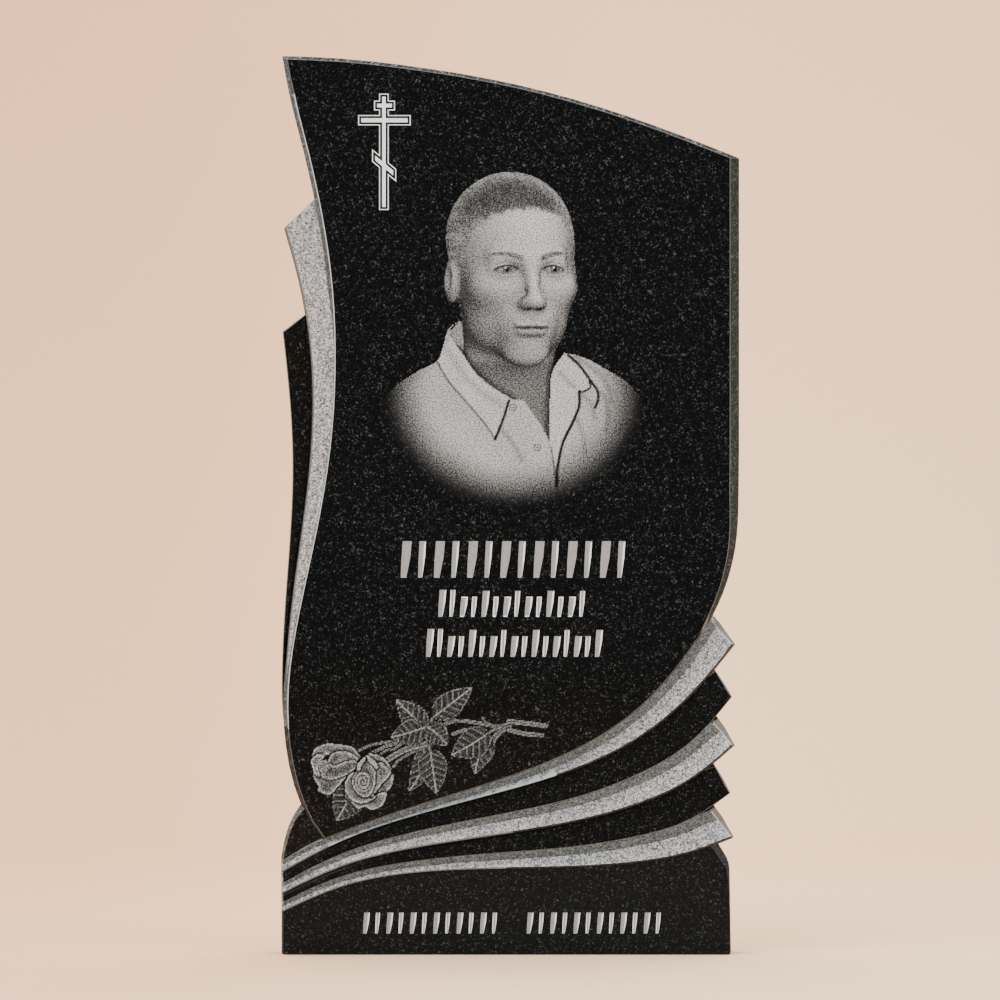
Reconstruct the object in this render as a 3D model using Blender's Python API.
"""Carved headstone, cut from one slab of dark granite.

Metres, +Z up. The front faces -Y, +X is to the right as seen from the front, and the origin is the
middle of the footprint, on the underside.

The front is carved in layers that overlap like petals. The panel lies over a pale fold and a dark
fold down its left side, over a shoulder at the lower left, and over a fan of pale and dark folds
across the foot, which in turn lie over the base. Every layer runs through to the flat back of the
slab, and a union makes them one stone.
"""

from dataclasses import dataclass

import bmesh
import bpy
import numpy as np

# Driving sizes of the slab, in metres
HEIGHT = 1.200
WIDTH = 0.611
THICKNESS = 0.080

# Widths of the bevels on the panel's edges, as seen from the front
TOP_BEVEL = 0.0045
RIGHT_BEVEL = 0.0122
NOTCH_BEVEL = 0.0055
LEFT_BEVEL = 0.0060
CORNER_BEVEL = 0.0040
LOWER_ARRIS = 0.0012
PANEL_BEVEL_DEPTH = 0.0050

# Shoulder at the lower left, behind the panel and in front of the first pale fold
SHOULDER_DEPTH = 0.0030
SHOULDER_TOP_BEVEL = 0.0075
SHOULDER_LOW_BEVEL = 0.0030
SHOULDER_BEVEL_DEPTH = 0.0040

# Folds across the foot. The narrow value holds at the left side, the wide one at the tips
FIRST_FOLD_DEPTH = 0.0040
FOLD_PAIR_FALL = 0.0030
DARK_EDGE_FALL = 0.0020
NARROW_VALLEY_DEPTH = 0.0035
WIDE_VALLEY_DEPTH = 0.0090
NARROW_STEP = 0.0050
WIDE_STEP = 0.0090
NARROW_SHADE = 0.0055
SIDE_BEVEL_DEPTH = 0.0030

# Walls under the lower edges of the folds, and the hidden part under the layer above
WALL_DEPTH = 0.0120
PALE_WALL_RUN = 0.0024
DARK_WALL_RUN = 0.0012
TUCK = 0.0080
TUCK_DEPTH = 0.0080

# Bevels on the ends of the folds, where they stand clear as tips
TIP_BEVEL_DEPTH = 0.0040
PALE_ROOT_BEVEL = 0.0075
PALE_TIP_BEVEL = 0.0030
PALE_END_BOW = 0.0015
DARK_END_BEVEL = 0.0012
DARK_END_BOW = 0.0009

# Rise of a dark fold to its edge: shares of its breadth, and how quickly it flattens
DARK_RISE_SHARES = (0.3, 0.6)
DARK_RISE_POWER = 1.6

# Folds down the left side
LEFT_PALE_TOP_DEPTH = 0.0100
LEFT_PALE_LOW_DEPTH = 0.0008
LEFT_PALE_TOP_EDGE = 0.0070
LEFT_PALE_LOW_EDGE = 0.0030
LEFT_PALE_RISE = 0.30
LEFT_PALE_SHARES = (0, 0.35, 0.7, 1)
LEFT_DARK_SHARES = (0, 0.5, 1)
LEFT_DARK_ROOT_DEPTH = 0.0150
LEFT_DARK_EDGE_DEPTH = 0.0100

# Base with its flat field
BASE_DEPTH = 0.0130
BASE_BEVEL_DEPTH = 0.0050
BASE_SIDE_BEVEL = 0.0025
BASE_RIGHT_ARRIS = 0.0012
BASE_TUCK = 0.0100
BASE_TUCK_BEVEL = 0.0090
FACET_ROOT_BEVEL = 0.0110
FACET_LOW_BEVEL = 0.0072
FOOT_CORNER_RADIUS = 0.0035

# Fineness of the curves
FOLD_STATIONS = 30
TOP_STEPS = 16
SWEEP_STEPS = 14
LEFT_STEPS = 40
SHOULDER_LOWER_STEPS = 6
SHOULDER_OUTER_STEPS = 14
CORNER_STEPS = 4
MITRE_LIMIT = 0.25
PLANAR_LIMIT = np.radians(0.05)

# Knots of the outlines: across in thousandths of the width from the left side, up in thousandths
# of the height from the foot
PANEL_TOP = ((2, 1000), (120, 997.6), (300, 987.6), (480, 972), (660, 948.8), (830, 920), (1000, 886.5))
PANEL_RIGHT = ((1000, 886.5), (1000, 560))
PANEL_SWEEP = ((1000, 560), (999, 508), (993.5, 459), (981, 427.7), (962, 399), (943, 378.3))
PANEL_LOWER = (
    (943, 378.3), (917, 357.2), (881, 331), (781, 274.3), (651, 230.4), (480.5, 195.3),
    (300.5, 166.5), (200, 149.3), (91, 128.3),
)
PANEL_LEFT = (
    (84, 128.7), (45, 166), (10, 233), (6, 300), (25.6, 372), (62.5, 461), (98.6, 572.4),
    (108, 672.6), (101, 746), (71, 844), (47, 897.5), (20.5, 951), (2, 1000),
)
LEFT_PALE_EDGE = (
    (9, 808.5), (36, 759.5), (60.5, 692.5), (69.5, 620), (61.5, 537), (30.5, 417), (11.5, 320),
    (12, 266), (26, 222),
)
LEFT_PALE_ROOT = (
    (85, 846), (100, 800), (125, 700), (119, 572), (83, 461), (46, 372), (26, 290), (40, 225),
)
LEFT_DARK_EDGE = (
    (4, 693), (16, 636), (25.5, 545), (16, 439), (4.5, 350), (2.1, 305), (5.5, 262), (20, 222),
)
LEFT_DARK_ROOT = (
    (64, 717), (79, 640), (72, 540), (41, 417), (21, 320), (24, 262), (36, 222),
)
SHOULDER_OUTER = ((0, 104), (3, 118), (9, 131.6), (17, 144.9), (30, 158.3), (46, 169.4), (62, 180))
SHOULDER_LOWER = ((88, 128.8), (49, 118.8), (0, 104))
SHOULDER_HIDDEN = ((62, 180), (110, 150), (88, 128.8))
BASE_FACET = ((945, 132), (957, 122.3), (967, 114.2), (974, 108.2), (978, 102.6), (980, 95.4))
BASE_RIGHT = ((980, 95.4), (981, 71.5), (983, 0))
BASE_TOP_END = 930

# The folds' lower edges pass these heights at the places across, and end at their tips
ACROSS = (4, 130, 300, 480, 650, 780, 890)


def at(across, up):
    """Place on the front, in metres, of a point given in thousandths of the width and height."""
    return np.array([(across / 1000 - 0.5) * WIDTH, up / 1000 * HEIGHT])


def places(knots):
    """Places on the front of several knots, as rows of an array."""
    return np.array([at(*knot) for knot in knots])


def natural_spline(points, density=40):
    """Points close together along the natural cubic curve through the given ones."""
    steps = np.linalg.norm(np.diff(points, axis=0), axis=1)
    count = len(points)
    system = np.eye(count)
    bends = np.zeros((count, 2))
    for i in range(1, count - 1):
        before, after = steps[i - 1], steps[i]
        system[i, i - 1:i + 2] = before, 2 * (before + after), after
        bends[i] = 6 * ((points[i + 1] - points[i]) / after - (points[i] - points[i - 1]) / before)
    second = np.linalg.solve(system, bends)
    curve = [points[0]]
    for i, step in enumerate(steps):
        for share in np.linspace(0, 1, density + 1)[1:]:
            rest = 1 - share
            bulge = (rest**3 - rest) * second[i] + (share**3 - share) * second[i + 1]
            curve.append(rest * points[i] + share * points[i + 1] + bulge * step**2 / 6)
    return np.array(curve)


def evenly(curve, count):
    """count + 1 points at equal distances along a curve."""
    reach = np.concatenate(([0.0], np.cumsum(np.linalg.norm(np.diff(curve, axis=0), axis=1))))
    stops = np.linspace(0, reach[-1], count + 1)
    return np.column_stack([np.interp(stops, reach, curve[:, axis]) for axis in (0, 1)])


def through(knots, count):
    """count + 1 even points along the smooth curve through the knots."""
    return evenly(natural_spline(places(knots)), count)


def eased(shares):
    """Smooth step from 0 to 1."""
    shares = np.clip(shares, 0, 1)
    return shares * shares * (3 - 2 * shares)


def solid(name, vertices, faces):
    """Closed mesh object whose faces point outwards."""
    mesh = bpy.data.meshes.new(name)
    mesh.from_pydata([tuple(vertex) for vertex in vertices], [], faces)
    shaped = bmesh.new()
    shaped.from_mesh(mesh)
    bmesh.ops.recalc_face_normals(shaped, faces=shaped.faces)
    shaped.to_mesh(mesh)
    shaped.free()
    return bpy.data.objects.new(name, mesh)


def in_space(points, depth):
    """Places on the front at a depth behind the panel's face, as points in space."""
    front = np.full(len(points), -THICKNESS / 2) + depth
    return np.column_stack([points[:, 0], front, points[:, 1]])


@dataclass(frozen=True)
class Side:
    """One side of a plate's outline, clockwise, with its bevel's width at shares of its length."""

    points: np.ndarray
    bevel: tuple

    def widths(self):
        """Bevel width at each point."""
        shares = np.linspace(0, 1, len(self.points))
        stops, widths = zip(*self.bevel)
        return np.interp(shares, stops, widths)


def inward(direction):
    """Unit vector to the right of a direction, which is inwards on a clockwise outline."""
    turned = np.array([direction[1], -direction[0]])
    return turned / np.linalg.norm(turned)


def outlines(sides):
    """Outer outline of a plate and the outline of its face inside the bevel, mitred at corners."""
    outer = np.vstack([side.points[:-1] for side in sides])
    leaving = np.concatenate([side.widths()[:-1] for side in sides])
    arriving = leaving.copy()
    start = 0
    for index, side in enumerate(sides):
        arriving[start] = sides[index - 1].widths()[-1]
        start += len(side.points) - 1
    inner = []
    for i, point in enumerate(outer):
        first = inward(point - outer[i - 1])
        second = inward(outer[(i + 1) % len(outer)] - point)
        if abs(np.cross(first, second)) < MITRE_LIMIT:
            middle = (first + second) / np.linalg.norm(first + second)
            inner.append(point + middle * (arriving[i] + leaving[i]) / 2)
        else:
            normals = np.array([first, second])
            inner.append(point + np.linalg.solve(normals, np.array([arriving[i], leaving[i]])))
    return outer, np.array(inner)


def plate(name, sides, depth, bevel_depth):
    """Layer with a flat face, a bevel of its own width along each side, and upright walls."""
    outer, inner = outlines(sides)
    count = len(outer)
    rings = (
        in_space(inner, depth),
        in_space(outer, depth + bevel_depth),
        in_space(outer, THICKNESS),
    )
    faces = [tuple(range(count)), tuple(range(3 * count - 1, 2 * count - 1, -1))]
    for ring in (0, count):
        for i in range(count):
            after = (i + 1) % count
            faces.append((ring + i, ring + after, ring + count + after, ring + count + i))
    return solid(name, np.vstack(rings), faces)


@dataclass(frozen=True)
class End:
    """Bevel across one end of a fold: its width at the root and at the tip, and the end's bow."""

    root: float
    tip: float
    bow: float
    depth: float


def end_ring(ring, inside, end):
    """Outermost ring of a fold: the last one moved outwards by the bevel's width, and back."""
    root, tip = ring["front"][1, :2], ring["front"][-1, :2]
    along = tip - root
    outwards = inward(along)
    if np.dot(outwards, root - inside) < 0:
        outwards = -outwards
    moved = {}
    for part, points in ring.items():
        shares = np.clip((points[:, :2] - root) @ along / np.dot(along, along), 0, 1)
        run = end.root + (end.tip - end.root) * shares + end.bow * 4 * shares * (1 - shares)
        moved[part] = points.copy()
        moved[part][:, :2] += run[:, None] * outwards
    moved["front"][:, 2] += end.depth
    return moved


def fold(name, rows, wall_run, first_end, last_end):
    """Layer lofted from its hidden root to its edge.

    Each row is an array of stations with columns x, z and depth. The first row lies hidden under
    the layer above, the last is the edge, from which a wall leans outwards as it goes back.
    """
    rings = []
    for station in range(len(rows[0])):
        front = np.array([row[station] for row in rows])
        lean = front[-1, :2] - front[-2, :2]
        foot = front[-1].copy()
        foot[:2] += lean / np.linalg.norm(lean) * wall_run
        foot[2] += WALL_DEPTH
        back = np.array([foot, front[0]])
        back[:, 2] = THICKNESS
        rings.append({"front": front, "wall": foot[None, :], "back": back})
    first = end_ring(rings[0], rings[1]["front"][1, :2], first_end)
    last = end_ring(rings[-1], rings[-2]["front"][1, :2], last_end)
    rings = [first, *rings, last]
    points = np.vstack([part for ring in rings for part in ring.values()])
    size = len(points) // len(rings)
    faces = [tuple(range(size)), tuple(range(len(points) - 1, len(points) - size - 1, -1))]
    for ring in range(len(rings) - 1):
        for i in range(size):
            after = (i + 1) % size
            corners = (i, after, size + after, size + i)
            faces.append(tuple(ring * size + corner for corner in corners))
    return solid(name, in_space(points[:, :2], points[:, 2]), faces)


def row(points, depth):
    """Stations of a fold's row: x, z and depth."""
    return np.column_stack([points, np.broadcast_to(depth, len(points))])


@dataclass(frozen=True)
class FootFold:
    """A fold across the foot, from the left side to its tip on the right.

    heights are those of its lower edge at the places ACROSS, root is where its end comes out from
    under the layer above, and shade is the width, at the tip, of the facet that turns downwards.
    """

    name: str
    heights: tuple
    root: tuple
    tip: tuple
    edge_depth: float
    start_depth: float
    shade: float = 0.0

    def edge(self):
        """Even points along the lower edge."""
        return through((*zip(ACROSS, self.heights), self.tip), FOLD_STATIONS)

    def start(self, above):
        """Even points along the edge of the layer above, up to where this fold's end begins."""
        root = at(*self.root)
        left = at(ACROSS[0], 0)[0]
        kept = above[(above[:, 0] > left) & (above[:, 0] < root[0])]
        first = np.array([left, np.interp(left, above[:, 0], above[:, 1])])
        return evenly(np.vstack([first, kept, root]), FOLD_STATIONS)

    def solid(self, above):
        """The fold's own solid, under the layer whose lower edge is given."""
        start, edge = self.start(above), self.edge()
        growth = np.linspace(0, 1, FOLD_STATIONS + 1)
        runs = edge - start
        runs = runs / np.linalg.norm(runs, axis=1)[:, None]
        if self.shade:
            valley = start + runs * (NARROW_SHADE + (self.shade - NARROW_SHADE) * growth)[:, None]
            fall = NARROW_VALLEY_DEPTH + (WIDE_VALLEY_DEPTH - NARROW_VALLEY_DEPTH) * growth
            shown = [row(start, self.start_depth), row(valley, self.start_depth + fall)]
            wall_run = PALE_WALL_RUN
            end = End(PALE_ROOT_BEVEL, PALE_TIP_BEVEL, PALE_END_BOW, TIP_BEVEL_DEPTH)
        else:
            step = NARROW_STEP + (WIDE_STEP - NARROW_STEP) * growth
            deep = self.start_depth + step
            shown = [row(start, deep)]
            for share in DARK_RISE_SHARES:
                left_over = (1 - share)**DARK_RISE_POWER
                depth = self.edge_depth + (deep - self.edge_depth) * left_over
                shown.append(row(start + (edge - start) * share, depth))
            wall_run = DARK_WALL_RUN
            end = End(DARK_END_BEVEL, DARK_END_BEVEL, DARK_END_BOW, TIP_BEVEL_DEPTH)
        hidden = row(start - runs * TUCK, shown[0][:, 2] + TUCK_DEPTH)
        side_bevel = start[0, 0] + WIDTH / 2
        side = End(side_bevel, side_bevel, 0, SIDE_BEVEL_DEPTH)
        return fold(self.name, [hidden, *shown, row(edge, self.edge_depth)], wall_run, side, end)


def pair(index, pale, dark):
    """The pale fold and the dark fold of one pair, each farther back than the pair before."""
    depth = FIRST_FOLD_DEPTH + index * FOLD_PAIR_FALL
    pale_fold = FootFold(**pale, edge_depth=depth, start_depth=depth)
    if dark is None:
        return (pale_fold,)
    dark_fold = FootFold(**dark, edge_depth=depth + DARK_EDGE_FALL, start_depth=depth)
    return pale_fold, dark_fold


FOOT_FOLDS = (
    *pair(
        0,
        pale=dict(
            name="pale_fold_1",
            heights=(93.5, 127, 157, 182, 209, 241.7, 287.3),
            root=(934.6, 373.8),
            tip=(986.5, 344.9),
            shade=0.0135,
        ),
        dark=dict(
            name="dark_fold_1",
            heights=(80.8, 112.2, 138.1, 156.8, 176.6, 201.5, 235.2),
            root=(947.5, 315.3),
            tip=(983, 287),
        ),
    ),
    *pair(
        1,
        pale=dict(
            name="pale_fold_2",
            heights=(69.4, 98.6, 120.4, 134.6, 149.8, 168.3, 194.2),
            root=(946, 259),
            tip=(985.5, 232.8),
            shade=0.0160,
        ),
        dark=dict(
            name="dark_fold_2",
            heights=(59.3, 87.1, 105, 113.8, 121.3, 132.5, 150.2),
            root=(947, 209.4),
            tip=(979.5, 180),
        ),
    ),
    *pair(
        2,
        pale=dict(
            name="pale_fold_3",
            heights=(48.8, 76.1, 92.3, 96.3, 98.4, 103.4, 113.8),
            root=(939, 160.5),
            tip=(983.5, 130.7),
            shade=0.0165,
        ),
        dark=None,
    ),
)


def panel():
    """The front-most layer, with the polished face that carries the portrait and the lettering."""
    shared = through(PANEL_LOWER, FOLD_STATIONS)
    left = through(PANEL_LEFT, LEFT_STEPS)
    left[0] = shared[-1]
    sides = (
        Side(through(PANEL_TOP, TOP_STEPS), ((0, TOP_BEVEL), (1, TOP_BEVEL))),
        Side(evenly(places(PANEL_RIGHT), 1), ((0, RIGHT_BEVEL), (1, RIGHT_BEVEL))),
        Side(
            through(PANEL_SWEEP, SWEEP_STEPS),
            ((0, RIGHT_BEVEL), (0.25, RIGHT_BEVEL), (1, NOTCH_BEVEL)),
        ),
        Side(shared, ((0, NOTCH_BEVEL), (0.06, LOWER_ARRIS), (1, LOWER_ARRIS))),
        Side(left, ((0, CORNER_BEVEL), (0.08, LEFT_BEVEL), (1, LEFT_BEVEL))),
    )
    return plate("panel", sides, 0, PANEL_BEVEL_DEPTH)


def shoulder():
    """The small curved layer at the lower left, seen between the panel and the first pale fold."""
    sides = (
        Side(places(SHOULDER_HIDDEN), ((0, 0), (1, 0))),
        Side(through(SHOULDER_LOWER, SHOULDER_LOWER_STEPS), ((0, LOWER_ARRIS), (1, LOWER_ARRIS))),
        Side(
            through(SHOULDER_OUTER, SHOULDER_OUTER_STEPS),
            ((0, SHOULDER_LOW_BEVEL), (1, SHOULDER_TOP_BEVEL)),
        ),
    )
    return plate("shoulder", sides, SHOULDER_DEPTH, SHOULDER_BEVEL_DEPTH)


def left_folds():
    """The pale fold beside the panel and the dark one behind it, down the left side."""
    growth = np.linspace(0, 1, FOLD_STATIONS + 1)
    rise = eased(growth / LEFT_PALE_RISE)
    root_depth = LEFT_PALE_TOP_DEPTH + (LEFT_PALE_LOW_DEPTH - LEFT_PALE_TOP_DEPTH) * rise
    edge_depth = LEFT_PALE_TOP_EDGE + (LEFT_PALE_LOW_EDGE - LEFT_PALE_TOP_EDGE) * rise
    root = through(LEFT_PALE_ROOT, FOLD_STATIONS)
    edge = through(LEFT_PALE_EDGE, FOLD_STATIONS)
    rows = []
    for share in LEFT_PALE_SHARES:
        depth = root_depth + (edge_depth - root_depth) * share**2
        rows.append(row(root + (edge - root) * share, depth))
    end = End(DARK_END_BEVEL, DARK_END_BEVEL, 0, SIDE_BEVEL_DEPTH)
    pale = fold("left_pale_fold", rows, PALE_WALL_RUN, end, end)
    root = through(LEFT_DARK_ROOT, FOLD_STATIONS)
    edge = through(LEFT_DARK_EDGE, FOLD_STATIONS)
    rows = []
    for share in LEFT_DARK_SHARES:
        depth = LEFT_DARK_ROOT_DEPTH + (LEFT_DARK_EDGE_DEPTH - LEFT_DARK_ROOT_DEPTH) * share
        rows.append(row(root + (edge - root) * share, depth))
    dark = fold("left_dark_fold", rows, DARK_WALL_RUN, end, end)
    return pale, dark


def foot_corner(corner, start_angle):
    """Quarter circle at a lower corner of the base, clockwise, ending the outline's round."""
    angles = np.radians(start_angle - np.linspace(0, 90, CORNER_STEPS + 1))
    return corner + FOOT_CORNER_RADIUS * np.column_stack([np.cos(angles), np.sin(angles)])


def base(last_edge):
    """The flat field at the foot, tucked under the last fold."""
    kept = last_edge[last_edge[:, 0] < at(BASE_TOP_END, 0)[0]]
    facet = places(BASE_FACET)
    top = np.vstack([kept + np.array([0, BASE_TUCK]), facet[0]])
    top[0, 0] = -WIDTH / 2
    right = places(BASE_RIGHT)
    round_up = np.array([0, FOOT_CORNER_RADIUS])
    right[-1] += round_up
    right_corner = foot_corner(right[-1] - np.array([FOOT_CORNER_RADIUS, 0]), 0)
    left_corner = foot_corner(at(0, 0) + np.array([FOOT_CORNER_RADIUS, 0]) + round_up, 270)
    sides = (
        Side(top, ((0, BASE_TUCK_BEVEL), (1, BASE_TUCK_BEVEL))),
        Side(facet, ((0, FACET_ROOT_BEVEL), (1, FACET_LOW_BEVEL))),
        Side(np.vstack([right, right_corner[1:]]), ((0, BASE_RIGHT_ARRIS), (1, BASE_RIGHT_ARRIS))),
        Side(
            np.array([right_corner[-1], left_corner[0]]),
            ((0, BASE_RIGHT_ARRIS), (1, BASE_RIGHT_ARRIS)),
        ),
        Side(
            np.vstack([left_corner, top[0]]),
            ((0, BASE_SIDE_BEVEL), (1, BASE_SIDE_BEVEL)),
        ),
    )
    return plate("base", sides, BASE_DEPTH, BASE_BEVEL_DEPTH)


def foot_layers():
    """The folds across the foot and the base, each under the edge of the layer before it."""
    shoulder_edge = through(SHOULDER_LOWER, FOLD_STATIONS)[::-1]
    panel_edge = through(PANEL_LOWER, FOLD_STATIONS)[::-1]
    above = np.vstack([shoulder_edge, panel_edge[panel_edge[:, 0] > shoulder_edge[-1, 0]]])
    layers = []
    for foot_fold in FOOT_FOLDS:
        layers.append(foot_fold.solid(above))
        above = foot_fold.edge()
    layers.append(base(above))
    return layers


def granite():
    """Dark polished granite."""
    material = bpy.data.materials.new("dark_granite")
    material.use_nodes = True
    shader = material.node_tree.nodes["Principled BSDF"]
    shader.inputs["Base Color"].default_value = (0.012, 0.012, 0.013, 1)
    shader.inputs["Roughness"].default_value = 0.25
    shader.inputs["Metallic"].default_value = 0
    return material


def join_layers(front, layers):
    """Makes the front layer the whole stone, by a union with the layers behind it."""
    helpers = bpy.data.collections.new("layers")
    bpy.context.scene.collection.children.link(helpers)
    for layer in layers:
        layer.hide_render = True
        layer.display_type = "WIRE"
        helpers.objects.link(layer)
    bpy.context.scene.collection.objects.link(front)
    union = front.modifiers.new("union of the layers", "BOOLEAN")
    union.operation = "UNION"
    union.operand_type = "COLLECTION"
    union.collection = helpers
    union.solver = "EXACT"
    tidy = front.modifiers.new("flat faces in one piece", "DECIMATE")
    tidy.decimate_type = "DISSOLVE"
    tidy.angle_limit = PLANAR_LIMIT
    front.modifiers.new("triangles", "TRIANGULATE")


def main():
    """Builds the headstone."""
    for thing in list(bpy.data.objects):
        bpy.data.objects.remove(thing, do_unlink=True)
    stone = panel()
    stone.name = "headstone"
    stone.data.materials.append(granite())
    join_layers(stone, [shoulder(), *left_folds(), *foot_layers()])


main()
